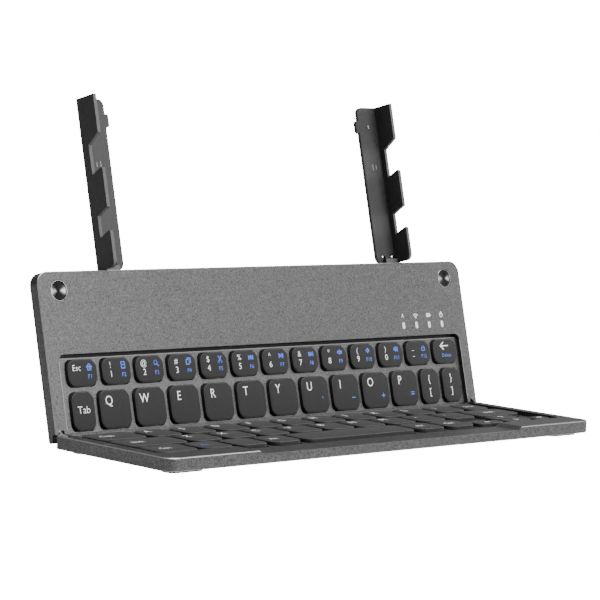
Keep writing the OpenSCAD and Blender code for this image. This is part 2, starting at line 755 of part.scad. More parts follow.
// Rubber pad behind the arm's tip, its stud pushed through the flange
module arm_pad() {
    translate([pad_x, pad_y, arm_back_z - pad_t]) cylinder(h = pad_t, r = pad_r);
    translate([pad_x, pad_y, arm_back_z - 0.1]) cylinder(h = arm_sheet + 0.2, r = stud_r);
}

module arm_pad_right() color([0.12, 0.12, 0.12]) arm_pad();
module arm_pad_left() color([0.12, 0.12, 0.12]) mirror([1, 0, 0]) arm_pad();

// Bracket on the panel's top edge: a plate, a stop lug before the arm and two knuckles
module arm_bracket() {
    difference() {
        union() {
            translate([bracket_x0, outer_y, arm_axis_z])
                cube([bracket_x1 - bracket_x0, bracket_t, lug_z1 - arm_axis_z]);
            translate([bracket_x0, outer_y, lug_z0])
                cube([bracket_x1 - bracket_x0, lug_h, lug_z1 - lug_z0]);
            for (x = [[bracket_x0, arm_knuckle_x0 - knuckle_gap],
                [arm_knuckle_x1 + knuckle_gap, bracket_x1]]) {
                translate([x[0], arm_axis_y, arm_axis_z]) rotate([0, 90, 0])
                    cylinder(h = x[1] - x[0], r = knuckle_r);
                translate([x[0], outer_y, arm_axis_z])
                    cube([x[1] - x[0], arm_axis_y - outer_y, knuckle_r]);
            }
        }
        translate([bracket_x0 - 1, arm_axis_y, arm_axis_z]) rotate([0, 90, 0])
            cylinder(h = arm_w, r = arm_pin_r);
    }
}

module arm_hinge_brackets() color([0.3, 0.3, 0.3]) both_sides() arm_bracket();

module arm_hinge_pins() color([0.8, 0.8, 0.82]) both_sides()
    translate([bracket_x0, arm_axis_y, arm_axis_z]) rotate([0, 90, 0])
        cylinder(h = bracket_x1 - bracket_x0, r = arm_pin_r);

// ---------- keys ----------

module caps(row, first, last, y, l) color([0.2, 0.2, 0.2])
    for (i = [first:last]) key_cap(key_x(row, i), y, row[i], l);

module keys_caps_row() caps(caps_row, 0, len(caps_row) - 1, caps_y, letter_l);
module keys_shift_row() caps(shift_row, 0, len(shift_row) - 1, shift_y, letter_l);
module keys_front_left() caps(front_row, 0, len(front_row_left) - 1, front_y, letter_l);
module key_space() caps(front_row, len(front_row_left), len(front_row_left), front_y, letter_l);
module keys_front_right() {
    last = len(front_row) - 1;
    caps(front_row, len(front_row_left) + 1, last - 3, front_y, letter_l);
    caps(front_row, last - 2, last, arrow_y(), half_l);
    caps(front_row, last - 1, last - 1, front_y, half_l);
}

// ---------- the part ----------

on_base() base_frame();
on_base() base_bottom_cover();
on_base() base_key_web();
on_base() base_support_plate();
on_base() base_dome_sheet();
on_base() base_magnets();
on_base() feet();  // base_feet
on_base() screws();  // base_screws
on_base() base_hinge_leaves();
on_base() fold_hinge_pins();
on_rear() rear_frame();
on_rear() rear_back_cover();
on_rear() rear_key_web();
on_rear() rear_support_plate();
on_rear() rear_dome_sheet();
on_rear() main_board();
on_rear() battery();
on_rear() charge_socket();
on_rear() indicator_lenses();
on_rear() magnet_caps();
on_rear() feet();  // rear_feet
on_rear() screws();  // rear_screws
on_rear() rear_hinge_leaves();
on_rear() arm_hinge_brackets();
on_rear() arm_hinge_pins();
on_rear() arm_left();
on_rear() arm_right();
on_rear() arm_pad_left();
on_rear() arm_pad_right();
on_base() keys_caps_row();
on_base() keys_shift_row();
on_base() keys_front_left();
on_base() key_space();
on_base() keys_front_right();
for (i = [0:12]) {
    on_rear() caps(number_row, i, i, number_y, number_l);
    on_rear() caps(letter_row, i, i, letter_y, letter_l);
}
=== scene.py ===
"""Folding keyboard with two toothed tablet arms: finishes, key caps, legends and light."""
import json
import math

import bmesh
import bpy
from mathutils import Matrix, Vector


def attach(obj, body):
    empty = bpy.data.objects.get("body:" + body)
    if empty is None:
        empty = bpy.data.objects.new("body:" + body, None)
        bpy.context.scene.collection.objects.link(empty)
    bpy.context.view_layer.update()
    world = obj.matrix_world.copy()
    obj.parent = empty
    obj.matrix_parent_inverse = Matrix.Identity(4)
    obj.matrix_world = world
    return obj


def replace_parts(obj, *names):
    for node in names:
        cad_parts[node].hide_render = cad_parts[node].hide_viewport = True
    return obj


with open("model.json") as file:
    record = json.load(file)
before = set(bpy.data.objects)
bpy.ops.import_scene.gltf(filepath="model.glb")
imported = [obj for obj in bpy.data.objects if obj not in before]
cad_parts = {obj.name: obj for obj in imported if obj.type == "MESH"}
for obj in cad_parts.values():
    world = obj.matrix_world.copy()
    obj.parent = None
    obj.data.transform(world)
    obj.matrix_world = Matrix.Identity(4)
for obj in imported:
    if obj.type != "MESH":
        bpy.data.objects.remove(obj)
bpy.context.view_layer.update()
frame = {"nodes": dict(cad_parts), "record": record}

MM = 0.001
OPEN_ANGLE = math.radians(104.5)
joints = {j["name"]: j for j in frame["record"]["behaviour"]["joints"]}
HEEL = 3.0
# The line where the two rims meet lies behind and above the hinge axis.
fold_line = Vector(joints["board_fold"]["pos_m"]) + MM * Vector(
    (0, HEEL / 2, HEEL / 2 / math.tan(OPEN_ANGLE / 2)))

# A panel's own axes: X along the fold, Y away from it on the rear panel and towards it on the
# base, which is the way the legends read, and Z out of the keyed face.  Millimetres.
BASE = Matrix.Translation(fold_line) @ Matrix.Scale(MM, 4)
REAR = (Matrix.Translation(fold_line) @ Matrix.Rotation(math.pi - OPEN_ANGLE, 4, "X")
        @ Matrix.Scale(MM, 4))

# ---------- key layout, in millimetres ----------

FIELD_LEFT = -114.6
FIELD_W = 230.8
GAP = 2.7
LETTER_W = 16.3
LETTER_L = 15.9
NUMBER_W = 15.25
NUMBER_L = 11.0
SMALL_W = 11.8
CAPS_W = 24.95
SHIFT_W = 30.95
CTRL_W = 20.55
SPACE_W = 64.65
MOD_W = 16.0
HALF = 6.825
ROW_GAP = 2.25
ROW_STEP = LETTER_L + ROW_GAP
NEAR = 0.9
KEY_TOP = -0.48
KEY_FOOT = -3.1
KEY_ROOF = 0.9
KEY_R = 3.9
KEY_EDGE = 0.55
RIM_TOP = -0.15
PLATE_TOP = -2.15
WELL_HALF_W = 119.05
GROOVE_MID, GROOVE_HALF = 0.9, 0.95
REAR_WELL = 32.4
BASE_WELL = 56.0
ARM_FRONT = -3.85
DISC_X, DISC_UP, DISC_R = 114.3, 58.6, 4.4


def row_of(widths, near, length):
    """(x, y, width, length) of each key's middle; the last key fills the row."""
    widths = widths + [FIELD_W - sum(widths) - GAP * len(widths)]
    places, x = [], FIELD_LEFT
    for w in widths:
        places.append((x + w / 2, near + length / 2, w, length))
        x += w + GAP
    return places


number_row = row_of([NUMBER_W] * 12, NEAR + ROW_STEP, NUMBER_L)
letter_row = row_of([SMALL_W] + [LETTER_W] * 10 + [SMALL_W], NEAR, LETTER_L)
caps_row = row_of([CAPS_W] + [LETTER_W] * 10, NEAR, LETTER_L)
shift_row = row_of([SHIFT_W] + [LETTER_W] * 9, NEAR + ROW_STEP, LETTER_L)
FRONT = NEAR + 2 * ROW_STEP
front_row = row_of([CTRL_W] + [MOD_W] * 3 + [SPACE_W] + [MOD_W] * 3 + [LETTER_W], FRONT, LETTER_L)
for i in (7, 8, 9):
    x, y, w, l = front_row[i]
    front_row[i] = (x, FRONT + LETTER_L - HALF / 2, w, HALF)
up_key = (front_row[8][0], FRONT + HALF / 2, LETTER_W, HALF)

# ---------- materials ----------


def new_group(name, inputs, outputs):
    """An empty shader group with those sockets: {name: (type, default)} and {name: type}."""
    group = bpy.data.node_groups.new(name, "ShaderNodeTree")
    for label, (kind, value) in inputs.items():
        socket = group.interface.new_socket(name=label, in_out="INPUT", socket_type=kind)
        socket.default_value = value
    for label, kind in outputs.items():
        group.interface.new_socket(name=label, in_out="OUTPUT", socket_type=kind)
    nodes = group.nodes
    return group, nodes.new("NodeGroupInput"), nodes.new("NodeGroupOutput")


def feed(links, socket, value):
    """Gives a socket a number or colour, or links another socket to it."""
    if isinstance(value, (int, float, tuple)):
        socket.default_value = value
    else:
        links.new(value, socket)


def math_node(nodes, links, operation, a, b=None, clamp=False):
    """A Math node on two sockets or numbers; returns its output."""
    node = nodes.new("ShaderNodeMath")
    node.operation = operation
    node.use_clamp = clamp
    for index, value in enumerate((a, b)):
        if value is not None:
            feed(links, node.inputs[index], value)
    return node.outputs[0]


def noise(nodes, links, place, scale, detail=2.0, rough=0.5):
    node = nodes.new("ShaderNodeTexNoise")
    node.inputs["Scale"].default_value = scale
    node.inputs["Detail"].default_value = detail
    node.inputs["Roughness"].default_value = rough
    links.new(place, node.inputs["Vector"])
    return node.outputs[0]


def blasted_grain():
    """Bead-blasted metal: fine light and dark specks, broad tone drift and a pitted surface."""
    group, source, sink = new_group(
        "blasted grain",
        {"Tone": ("NodeSocketColor", (0.2, 0.2, 0.2, 1)), "Speck": ("NodeSocketFloat", 0.3),
         "Grain Scale": ("NodeSocketFloat", 2600.0), "Roughness": ("NodeSocketFloat", 0.4)},
        {"Color": "NodeSocketColor", "Roughness": "NodeSocketFloat", "Height": "NodeSocketFloat"})
    nodes, links = group.nodes, group.links
    place = nodes.new("ShaderNodeTexCoord").outputs["Object"]
    fine = nodes.new("ShaderNodeTexNoise")
    fine.inputs["Detail"].default_value = 3.0
    fine.inputs["Roughness"].default_value = 0.7
    links.new(place, fine.inputs["Vector"])
    links.new(source.outputs["Grain Scale"], fine.inputs["Scale"])
    broad = noise(nodes, links, place, 14.0)
    centred = math_node(nodes, links, "SUBTRACT", fine.outputs[0], 0.5)
    speck = math_node(nodes, links, "MULTIPLY", centred, source.outputs["Speck"])
    drift = math_node(nodes, links, "MULTIPLY",
                      math_node(nodes, links, "SUBTRACT", broad, 0.5), 0.12)
    gain = math_node(nodes, links, "ADD", math_node(nodes, links, "ADD", speck, drift), 1.0)
    scaled = nodes.new("ShaderNodeVectorMath")
    scaled.operation = "SCALE"
    links.new(source.outputs["Tone"], scaled.inputs[0])
    links.new(gain, scaled.inputs["Scale"])
    links.new(scaled.outputs[0], sink.inputs["Color"])
    rough = math_node(nodes, links, "ADD", source.outputs["Roughness"],
                      math_node(nodes, links, "MULTIPLY", centred, 0.25), clamp=True)
    links.new(rough, sink.inputs["Roughness"])
    links.new(fine.outputs[0], sink.inputs["Height"])
    return group


def place_on_panel(nodes, links, source, place):
    """X, Y and Z from the fold line along a panel's own axes, in metres."""
    turn = nodes.new("ShaderNodeVectorRotate")
    turn.rotation_type = "X_AXIS"
    links.new(place, turn.inputs["Vector"])
    links.new(source.outputs["Fold"], turn.inputs["Center"])
    links.new(source.outputs["Turn"], turn.inputs["Angle"])
    away = nodes.new("ShaderNodeVectorMath")
    away.operation = "SUBTRACT"
    links.new(turn.outputs[0], away.inputs[0])
    links.new(source.outputs["Fold"], away.inputs[1])
    parts = nodes.new("ShaderNodeSeparateXYZ")
    links.new(away.outputs[0], parts.inputs[0])
    return parts.outputs


def painted_edge_highlight():
    """A mask of 1 on slanted chamfer faces and 0 on faces square to the panel's axes; it places a
    painted highlight.
    """
    group, source, sink = new_group(
        "painted edge highlight", {"Turn": ("NodeSocketFloat", 0.0)}, {"Mask": "NodeSocketFloat"})
    nodes, links = group.nodes, group.links
    normal = nodes.new("ShaderNodeTexCoord").outputs["Normal"]
    turn = nodes.new("ShaderNodeVectorRotate")
    turn.rotation_type = "X_AXIS"
    links.new(normal, turn.inputs["Vector"])
    links.new(source.outputs["Turn"], turn.inputs["Angle"])
    parts = nodes.new("ShaderNodeSeparateXYZ")
    links.new(turn.outputs[0], parts.inputs[0])
    up = math_node(nodes, links, "ABSOLUTE", parts.outputs["Z"])
    off = math_node(nodes, links, "ABSOLUTE", math_node(nodes, links, "SUBTRACT", up, 0.7071))
    near = math_node(nodes, links, "SUBTRACT", 1.0,
                     math_node(nodes, links, "MULTIPLY", off, 8.0), clamp=True)
    links.new(near, sink.inputs["Mask"])
    return group


def well_shade():
    """A mask of 1 in the groove beyond a key plate, below the rim, and 0 elsewhere; it places
    painted shade.
    """
    group, source, sink = new_group(
        "well shade", {"Fold": ("NodeSocketVector", (0, 0, 0)), "Turn": ("NodeSocketFloat", 0.0),
                       "Length": ("NodeSocketFloat", 0.03)}, {"Mask": "NodeSocketFloat"})
    nodes, links = group.nodes, group.links
    spot = place_on_panel(nodes, links, source, nodes.new("ShaderNodeTexCoord").outputs["Object"])
    across = math_node(nodes, links, "ABSOLUTE", spot["X"])
    along = math_node(nodes, links, "ABSOLUTE", spot["Y"])
    deep = math_node(nodes, links, "LESS_THAN", spot["Z"], (PLATE_TOP + 0.3) * MM)
    inside = math_node(nodes, links, "LESS_THAN", across, WELL_HALF_W * MM)
    far = math_node(nodes, links, "SUBTRACT", source.outputs["Length"], along)
    end = math_node(nodes, links, "COMPARE", far, GROOVE_MID * MM)
    end.node.inputs[2].default_value = GROOVE_HALF * MM
    within = math_node(nodes, links, "MULTIPLY", deep, inside)
    mask = math_node(nodes, links, "MULTIPLY", within, end)
    links.new(mask, sink.inputs["Mask"])
    return group


def cut_edge_highlight():
    """A mask of 1 on an arm's sheared edges, in front of its flat flange, and 0 elsewhere; it
    places a painted highlight.
    """
    group, source, sink = new_group(
        "cut edge highlight", {"Fold": ("NodeSocketVector", (0, 0, 0)), "Turn": ("NodeSocketFloat", 0.0),
                     "Front": ("NodeSocketFloat", 0.0)}, {"Mask": "NodeSocketFloat"})
    nodes, links = group.nodes, group.links
    coords = nodes.new("ShaderNodeTexCoord")
    spot = place_on_panel(nodes, links, source, coords.outputs["Object"])
    normal = nodes.new("ShaderNodeSeparateXYZ")
    links.new(coords.outputs["Normal"], normal.inputs[0])
    sheared = math_node(nodes, links, "LESS_THAN",
                        math_node(nodes, links, "ABSOLUTE", normal.outputs["X"]), 0.4)
    front = math_node(nodes, links, "GREATER_THAN", spot["Z"], source.outputs["Front"])
    links.new(math_node(nodes, links, "MULTIPLY", sheared, front), sink.inputs["Mask"])
    return group


GRAIN = blasted_grain()
EDGE_HIGHLIGHT = painted_edge_highlight()
WELL = well_shade()
CUT_HIGHLIGHT = cut_edge_highlight()


def material(name, **sockets):
    """A Principled material with those socket values; returns it, its shader and its tree."""
    mat = bpy.data.materials.new(name)
    mat.use_nodes = True
    tree = mat.node_tree
    shader = next(n for n in tree.nodes if n.type == "BSDF_PRINCIPLED")
    for label, value in sockets.items():
        shader.inputs[label.replace("_", " ")].default_value = value
    return mat, shader, tree


def bump(tree, shader, height, strength, distance):
    node = tree.nodes.new("ShaderNodeBump")
    node.inputs["Strength"].default_value = strength
    node.inputs["Distance"].default_value = distance
    tree.links.new(height, node.inputs["Height"])
    tree.links.new(node.outputs[0], shader.inputs["Normal"])


def mix(tree, mask, a, b):
    node = tree.nodes.new("ShaderNodeMix")
    node.data_type = "RGBA"
    tree.links.new(mask, node.inputs[0])
    for index, value in ((6, a), (7, b)):
        feed(tree.links, node.inputs[index], value)
    return node.outputs[2]


def grey(value, warm=0.0):
    return (value * (1 + warm), value, value * (1 - warm), 1.0)


def grained(name, tone, roughness, metallic, speck=0.3, scale=2600.0, depth=0.00002,
            marks=(), **sockets):
    """Metal or plastic with the blasted grain.  Each mark is a mask group, its input values and
    the colour that it brings.
    """
    mat, shader, tree = material(name, Metallic=metallic, **sockets)
    grain = tree.nodes.new("ShaderNodeGroup")
    grain.node_tree = GRAIN
    grain.inputs["Tone"].default_value = tone
    grain.inputs["Speck"].default_value = speck
    grain.inputs["Grain Scale"].default_value = scale
    grain.inputs["Roughness"].default_value = roughness
    colour = grain.outputs["Color"]
    for group, values, brought in marks:
        mask = tree.nodes.new("ShaderNodeGroup")
        mask.node_tree = group
        for label, value in values.items():
            mask.inputs[label].default_value = value
        colour = mix(tree, mask.outputs["Mask"], colour, brought)
    tree.links.new(colour, shader.inputs["Base Color"])
    tree.links.new(grain.outputs["Roughness"], shader.inputs["Roughness"])
    bump(tree, shader, grain.outputs["Height"], 0.35, depth)
    return mat


def spun(name, dark, bright, centre, radius):
    """Turned metal round a centre in the rear panel's face, with painted highlights in its colour:
    bright wedges and a bright lip.
    """
    mat, shader, tree = material(name, Metallic=1.0, Roughness=0.24)
    nodes, links = tree.nodes, tree.links
    place = nodes.new("ShaderNodeTexCoord").outputs["Object"]
    fold = nodes.new("ShaderNodeVectorMath")
    fold.operation = "ABSOLUTE"
    links.new(place, fold.inputs[0])
    away = nodes.new("ShaderNodeVectorMath")
    away.operation = "SUBTRACT"
    links.new(fold.outputs[0], away.inputs[0])
    away.inputs[1].default_value = centre
    length = nodes.new("ShaderNodeVectorMath")
    length.operation = "LENGTH"
    links.new(away.outputs[0], length.inputs[0])
    parts = nodes.new("ShaderNodeSeparateXYZ")
    links.new(away.outputs[0], parts.inputs[0])
    share = math_node(nodes, links, "DIVIDE",
                      math_node(nodes, links, "ABSOLUTE", parts.outputs["X"]),
                      length.outputs["Value"])
    # painted highlight: bright wedges across the turned rings and a bright ring at the lip
    wedge = math_node(nodes, links, "POWER", share, 14.0)
    lip = math_node(nodes, links, "GREATER_THAN", length.outputs["Value"], (radius - 0.35) * MM)
    shine = math_node(nodes, links, "ADD", wedge, lip, clamp=True)
    links.new(mix(tree, shine, dark, bright), shader.inputs["Base Color"])
    rings = math_node(nodes, links, "SINE",
                      math_node(nodes, links, "MULTIPLY", length.outputs["Value"], 42000.0))
    bump(tree, shader, rings, 0.4, 0.00001)
    return mat


def plain(name, tone, roughness, metallic=0.0, **sockets):
    """A material with a light surface texture of its own."""
    return grained(name, tone, roughness, metallic, speck=0.12, scale=1800.0, depth=0.00001,
                   **sockets)


REAR_TURN = OPEN_ANGLE - math.pi
frame_grey = grey(0.085)
base_metal, rear_metal = (
    grained(label, frame_grey, 0.42, 0.8, speck=3.4, scale=1700.0, marks=[
        # painted highlight on the chamfers
        (EDGE_HIGHLIGHT, {"Turn": turn}, grey(0.45)),
        # painted shade in the groove at the far end of the well
        (WELL, {"Fold": fold_line, "Turn": turn, "Length": (well + 0.05) * MM}, grey(0.006))])
    for label, turn, well in (("anodised base", 0.0, BASE_WELL),
                              ("anodised rear", REAR_TURN, REAR_WELL)))
cover_metal = grained("anodised cover", grey(0.04), 0.5, 0.6, speck=0.5)
web_metal = grained("key plate metal", grey(0.1), 0.42, 0.8, speck=2.6, scale=1700.0)
steel = plain("plate steel", grey(0.5), 0.3, 1.0)
dome_rubber = plain("dome rubber", grey(0.03), 0.6)
magnet_plate = plain("nickel plate", grey(0.6, 0.03), 0.18, 1.0)
pad_rubber = grained("foot rubber", grey(0.016), 0.75, 0.0, speck=0.5, scale=900.0, depth=0.00004)
screw_black = plain("blackened screw", grey(0.03), 0.35, 0.9)
hinge_steel = plain("hinge steel", grey(0.55), 0.28, 1.0)
arm_paint = grained(
    "arm coat", grey(0.02), 0.55, 0.1, speck=1.6, scale=1700.0,
    # painted highlight on the sheared edges
    marks=[(CUT_HIGHLIGHT, {"Fold": fold_line, "Turn": REAR_TURN, "Front": -3.6 * MM}, grey(0.07))])
board_green = plain("board lacquer", (0.02, 0.13, 0.06, 1), 0.35)
cell_foil = plain("battery foil", grey(0.5), 0.45, 0.4)
lens_clear = plain("lamp lens", grey(0.75), 0.2, 0.0, Specular_IOR_Level=0.6)
rear_plastic, base_plastic = (
    grained(label, grey(0.02), 0.55, 0.0, speck=1.1, scale=2000.0, depth=0.000012,
            # painted highlight on the filleted rims of the caps
            marks=[(EDGE_HIGHLIGHT, {"Turn": turn}, grey(0.14))], Specular_IOR_Level=0.12, Sheen_Weight=0.15,
            Sheen_Roughness=0.5, Sheen_Tint=grey(0.5))
    for label, turn in (("rear key plastic", REAR_TURN), ("base key plastic", 0.0)))
legend_white = plain("legend white", grey(0.9), 0.5)
legend_blue = plain("legend blue", (0.06, 0.16, 0.78, 1), 0.5)

finishes = {
    base_metal: ["base_frame"],
    rear_metal: ["rear_frame"],
    cover_metal: ["base_bottom_cover", "rear_back_cover"],
    web_metal: ["base_key_web", "rear_key_web"],
    steel: ["base_support_plate", "rear_support_plate", "charge_socket"],
    dome_rubber: ["base_dome_sheet", "rear_dome_sheet"],
    magnet_plate: ["base_magnets"],
    pad_rubber: ["base_feet", "rear_feet", "arm_pad_left", "arm_pad_right"],
    screw_black: ["base_screws", "rear_screws"],
    hinge_steel: ["base_hinge_leaves", "rear_hinge_leaves", "fold_hinge_pins"],
    arm_paint: ["arm_left", "arm_right", "arm_hinge_brackets", "arm_hinge_pins"],
    board_green: ["main_board"],
    cell_foil: ["battery"],
    lens_clear: ["indicator_lenses"],
}


def paint(obj, mat):
    obj.data.materials.clear()
    obj.data.materials.append(mat)


for mat, names in finishes.items():
    for name in names:
        paint(frame["nodes"][name], mat)
disc_centre = REAR @ Vector((DISC_X, DISC_UP, RIM_TOP))
paint(frame["nodes"]["magnet_caps"],
      spun("spun cap", grey(0.012), grey(0.3), disc_centre, DISC_R))

# ---------- key caps ----------


def key_cap_tree():
    """Geometry Nodes: a hollow cap with a filleted rim.  Roof is the depth of its inside face."""
    tree = bpy.data.node_groups.new("key cap", "GeometryNodeTree")
    tree.is_modifier = True
    face = tree.interface
    for label in ("Width", "Length", "Corner Radius", "Edge Radius", "Height", "Roof"):
        face.new_socket(name=label, in_out="INPUT", socket_type="NodeSocketFloat")
    face.new_socket(name="Material", in_out="INPUT", socket_type="NodeSocketMaterial")
    face.new_socket(name="Geometry", in_out="OUTPUT", socket_type="NodeSocketGeometry")
    nodes, links = tree.nodes, tree.links
    source, sink = nodes.new("NodeGroupInput"), nodes.new("NodeGroupOutput")

    def calc(operation, a, b):
        return math_node(nodes, links, operation, a, b)

    edge = source.outputs["Edge Radius"]
    twice = calc("MULTIPLY", edge, 2.0)
    outline = nodes.new("GeometryNodeCurvePrimitiveQuadrilateral")
    links.new(calc("SUBTRACT", source.outputs["Width"], twice), outline.inputs["Width"])
    links.new(calc("SUBTRACT", source.outputs["Length"], twice), outline.inputs["Height"])
    round_off = nodes.new("GeometryNodeFilletCurve")
    round_off.mode = "POLY"
    links.new(outline.outputs[0], round_off.inputs["Curve"])
    round_off.inputs["Count"].default_value = 7
    links.new(calc("SUBTRACT", source.outputs["Corner Radius"], edge), round_off.inputs["Radius"])
    flat = nodes.new("GeometryNodeFillCurve")
    flat.mode = "NGONS"
    links.new(round_off.outputs[0], flat.inputs["Curve"])

    def point(x, y):
        made = nodes.new("ShaderNodeCombineXYZ")
        for index, value in enumerate((x, y)):
            feed(links, made.inputs[index], value)
        return made.outputs[0]

    def line(start, end):
        made = nodes.new("GeometryNodeCurvePrimitiveLine")
        links.new(start, made.inputs["Start"])
        links.new(end, made.inputs["End"])
        return made.outputs[0]

    # profile, its Y down: rounded rim, wall, foot and the inside of the wall
    arc = nodes.new("GeometryNodeCurveArc")
    arc.inputs["Resolution"].default_value = 6
    links.new(edge, arc.inputs["Radius"])
    arc.inputs["Start Angle"].default_value = 0.0
    arc.inputs["Sweep Angle"].default_value = -math.pi / 2
    foot = calc("SUBTRACT", source.outputs["Height"], edge)
    roof = calc("SUBTRACT", source.outputs["Roof"], edge)
    profile = nodes.new("GeometryNodeJoinGeometry")
    for part in (arc.outputs["Curve"], line(point(edge, foot), point(edge, 0.0)),
                 line(point(0.0, foot), point(edge, foot)),
                 line(point(0.0, roof), point(0.0, foot))):
        links.new(part, profile.inputs[0])
    sweep = nodes.new("GeometryNodeCurveToMesh")
    links.new(round_off.outputs[0], sweep.inputs["Curve"])
    links.new(profile.outputs[0], sweep.inputs["Profile Curve"])

    def lowered(part, depth):
        made = nodes.new("GeometryNodeTransform")
        drop = nodes.new("ShaderNodeCombineXYZ")
        links.new(calc("SUBTRACT", 0.0, depth), drop.inputs[2])
        links.new(part, made.inputs["Geometry"])
        links.new(drop.outputs[0], made.inputs["Translation"])
        return made.outputs[0]

    whole = nodes.new("GeometryNodeJoinGeometry")
    for part in (flat.outputs[0], lowered(sweep.outputs[0], edge),
                 lowered(flat.outputs[0], source.outputs["Roof"])):
        links.new(part, whole.inputs[0])
    welded = nodes.new("GeometryNodeMergeByDistance")
    welded.inputs["Distance"].default_value = 0.002
    links.new(whole.outputs[0], welded.inputs["Geometry"])
    real = nodes.new("GeometryNodeRealizeInstances")
    links.new(welded.outputs[0], real.inputs[0])
    coat = nodes.new("GeometryNodeSetMaterial")
    links.new(real.outputs[0], coat.inputs["Geometry"])
    links.new(source.outputs["Material"], coat.inputs["Material"])
    links.new(coat.outputs[0], sink.inputs[0])
    return tree


CAP_TREE = key_cap_tree()
CAP_INPUTS = {item.name: item.identifier for item in CAP_TREE.interface.items_tree
              if item.in_out == "INPUT"}


def tree_mesh(tree, inputs, values):
    """The plain mesh that a Geometry Nodes tree makes with those values."""
    carrier = bpy.data.objects.new("carrier", bpy.data.meshes.new("carrier"))
    bpy.context.scene.collection.objects.link(carrier)
    modifier = carrier.modifiers.new("shape", "NODES")
    modifier.node_group = tree
    for label, value in values.items():
        modifier[inputs[label]] = value
    graph = bpy.context.evaluated_depsgraph_get()
    mesh = bpy.data.meshes.new_from_object(carrier.evaluated_get(graph))
    bpy.data.objects.remove(carrier)
    return mesh


def piece(name, meshes, mats, body, smooth=None):
    """One object from several (mesh, matrix) pairs, riding on a body."""
    bm = bmesh.new()
    for mesh, matrix in meshes:
        part = mesh.copy()
        part.transform(matrix)
        bm.from_mesh(part)
        bpy.data.meshes.remove(part)
    bmesh.ops.recalc_face_normals(bm, faces=bm.faces)
    mesh = bpy.data.meshes.new(name)
    bm.to_mesh(mesh)
    bm.free()
    for mat in mats:
        mesh.materials.append(mat)
    if smooth:
        mesh.polygons.foreach_set("use_smooth", [True] * len(mesh.polygons))
        mesh.set_sharp_from_angle(angle=math.radians(smooth))
    obj = bpy.data.objects.new(name, mesh)
    bpy.context.scene.collection.objects.link(obj)
    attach(obj, body)
    return obj


def cap(place, panel):
    """(mesh, matrix) of one key cap at a place of the layout."""
    x, y, w, l = place
    mesh = tree_mesh(CAP_TREE, CAP_INPUTS, {
        "Width": w, "Length": l, "Corner Radius": min(KEY_R, 0.4 * l), "Edge Radius": KEY_EDGE,
        "Height": KEY_TOP - KEY_FOOT, "Roof": KEY_ROOF,
        "Material": rear_plastic if panel is REAR else base_plastic})
    up = y if panel is REAR else -y
    return mesh, panel @ Matrix.Translation((x, up, KEY_TOP))


NUMBER_NAMES = ["esc", "1", "2", "3", "4", "5", "6", "7", "8", "9", "0", "minus", "backspace"]
LETTER_NAMES = ["tab", "q", "w", "e", "r", "t", "y", "u", "i", "o", "p", "bracket_open",
                "bracket_close"]
for names, row in ((NUMBER_NAMES, number_row), (LETTER_NAMES, letter_row)):
    for name, place in zip(names, row):
        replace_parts(piece("cap_" + name, [cap(place, REAR)], [rear_plastic],
                          "body_key_" + name, smooth=40), "key_" + name)
lower_groups = {
    "keys_caps_row": caps_row, "keys_shift_row": shift_row, "keys_front_left": front_row[:4],
    "key_space": front_row[4:5], "keys_front_right": front_row[5:] + [up_key],
}
for name, row in lower_groups.items():
    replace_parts(piece(name.replace("key", "cap", 1), [cap(p, BASE) for p in row], [base_plastic],
                      "body_" + name, smooth=40), name)

# ---------- legends ----------

STROKE_TRIM = 0.05


def words(text, size, place, panel, bold=0.0, squeeze=1.0):
    """(mesh, matrix) of a legend centred on a place of a panel; bold widens its strokes."""
    curve = bpy.data.curves.new("legend", "FONT")
    curve.body = text
    curve.size = size
    curve.align_x = "CENTER"
    curve.align_y = "CENTER"
    curve.extrude = 0.01
    curve.offset = bold - STROKE_TRIM
    curve.resolution_u = 3
    obj = bpy.data.objects.new("legend", curve)
    bpy.context.scene.collection.objects.link(obj)
    graph = bpy.context.evaluated_depsgraph_get()
    mesh = bpy.data.meshes.new_from_object(obj.evaluated_get(graph))
    bpy.data.objects.remove(obj)
    x, y, z = place
    return mesh, panel @ Matrix.Translation((x, y, z)) @ Matrix.Diagonal((squeeze, 1, 1, 1))


LEGEND_Z = KEY_TOP + 0.012
SPEAKER = [(-1, -0.3), (-0.6, -0.3), (-0.1, -0.8), (-0.1, 0.8), (-0.6, 0.3), (-1, 0.3),
           (-1, -0.3)]


def ring(x, y, r, start=0.0, sweep=360.0, count=12):
    """Points of an arc, to draw with a pen."""
    return [(x + r * math.cos(math.radians(start + sweep * k / count)),
             y + r * math.sin(math.radians(start + sweep * k / count))) for k in range(count + 1)]


def box(x0, y0, x1, y1):
    return [(x0, y0), (x1, y0), (x1, y1), (x0, y1), (x0, y0)]


